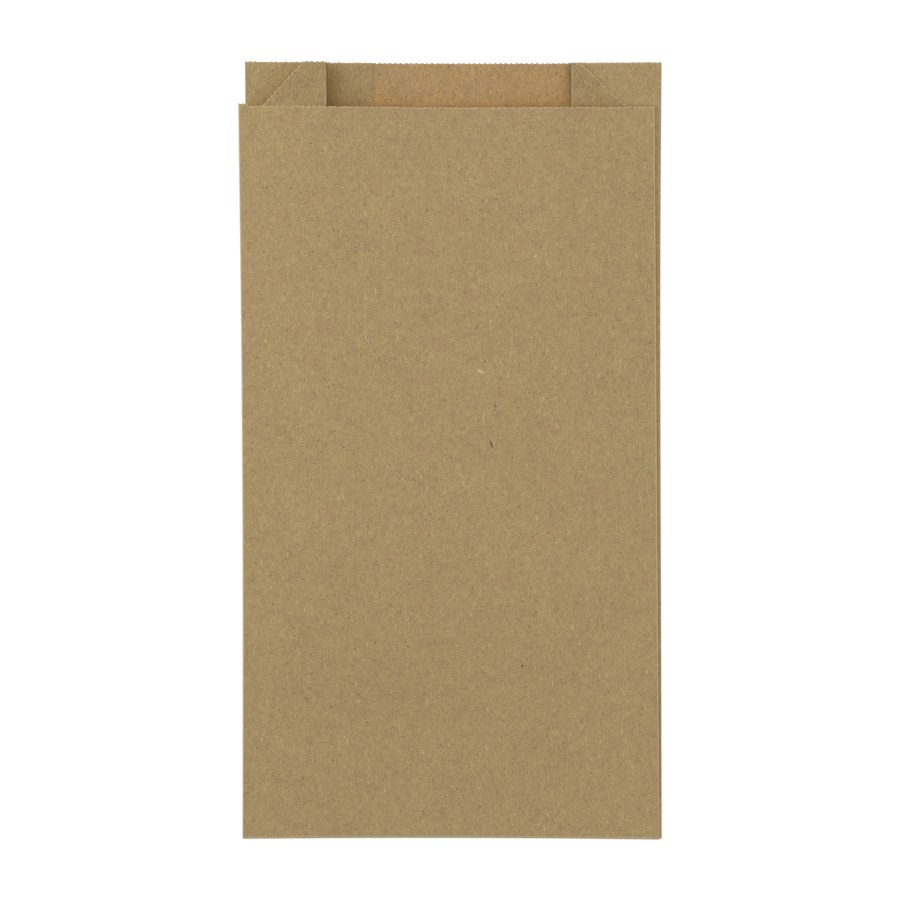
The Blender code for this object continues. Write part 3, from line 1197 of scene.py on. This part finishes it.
@dataclass
class Studio:
    """A plain white table under soft light, seen from straight above.

    A softbox hangs on either side, as on a copy stand, and a stronger one far above.
    """

    view_width: float = 324.1 * MM
    view_centre: float = -0.19 * MM
    lens_mm: float = 200.0
    sensor_mm: float = 36.0
    dome_level: float = 0.15
    softboxes: tuple[Softbox, ...] = (
        Softbox("left_softbox", (-0.86, 0.46, 0.54), (0.5, 1.0), 7.0),
        Softbox("right_softbox", (0.86, -0.12, 0.54), (0.5, 1.0), 3.9),
        Softbox("top_softbox", (0.12, 0.30, 2.1), (1.0, 1.0), 15.8),
    )
    floor_side: float = 4.0
    floor_colour: str = "#f4f4f4"
    floor_roughness: float = 0.9
    floor_lift: float = 0.35
    white: str = "#ffffff"

    def seen(self, tree: bpy.types.NodeTree) -> Socket:
        """Tell the rays that show the background: the camera's, and those off gloss or glass.

        Args:
            tree: the node tree of the table's or the dome's finish.

        Returns:
            The socket that is 1 for those rays and 0 for others.
        """
        ray = add_node(tree, "LightPath", {})
        total = ray["Is Camera Ray"]
        for kind in ("Is Glossy Ray", "Is Transmission Ray"):
            both = {0: total, 1: ray[kind]}
            total = add_node(tree, "Math", both, operation="ADD", use_clamp=True)[0]
        return total

    def floor(self) -> None:
        """Lay the white table, which the camera sees a little brighter than its colour."""
        bpy.ops.mesh.primitive_plane_add(size=self.floor_side, location=(0, 0, 0))
        table = bpy.context.object
        table.name = "table"
        made = bpy.data.materials.new("white_table")
        made.use_nodes = True
        tree = made.node_tree
        shader = tree.nodes["Principled BSDF"]
        shader.inputs["Base Color"].default_value = linear(self.floor_colour)
        shader.inputs["Roughness"].default_value = self.floor_roughness
        shader.inputs["Specular IOR Level"].default_value = 0.0
        shader.inputs["Emission Color"].default_value = linear(self.white)
        lift = {0: self.seen(tree), 1: self.floor_lift}
        glow = add_node(tree, "Math", lift, operation="MULTIPLY")[0]
        tree.links.new(glow, shader.inputs["Emission Strength"])
        table.data.materials.append(made)

    def world(self) -> None:
        """Light everything from a white dome, which the camera sees as plain white."""
        world = bpy.data.worlds.new("white_dome")
        world.use_nodes = True
        tree = world.node_tree
        levels = {0: self.seen(tree), 2: self.dome_level, 3: 1.0}
        strength = add_node(tree, "Mix", levels, data_type="FLOAT")[0]
        back = tree.nodes["Background"]
        back.inputs["Color"].default_value = linear(self.white)
        tree.links.new(strength, back.inputs["Strength"])
        bpy.context.scene.world = world

    def camera(self) -> None:
        """Hang the camera straight above, as far up as its lens needs."""
        lens = bpy.data.cameras.new("overhead")
        lens.lens = self.lens_mm
        lens.sensor_width = self.sensor_mm
        holder = bpy.data.objects.new("overhead", lens)
        holder.location = (self.view_centre, 0, self.view_width * self.lens_mm / self.sensor_mm)
        bpy.context.scene.collection.objects.link(holder)
        bpy.context.scene.camera = holder

    def build(self) -> None:
        """Set the whole stage."""
        self.floor()
        self.world()
        for softbox in self.softboxes:
            softbox.hang()
        self.camera()
        bpy.context.scene.view_settings.view_transform = "Standard"


def main() -> None:
    """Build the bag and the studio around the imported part."""
    logging.basicConfig(level=logging.INFO)
    web = FoldedWeb()
    low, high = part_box(NODE)
    foot_reach = web.foot_lift - web.ply / 2 + web.paper / 2
    shift_x = high[0] - web.width / 2
    shift_y = low[1] + foot_reach
    bag = KraftBag(web, SawKnife()).build(shift_x, shift_y)
    front_start = web.spans[2 * Ply.FRONT.value][0]
    bag.data.materials.append(MachineGlazedKraft(front_start).build())
    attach(bag, "root")
    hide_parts(NODE)
    LOG.info("%s: %d faces", bag.name, len(bag.data.polygons))
    Studio().build()


if __name__ == "__main__":
    main()
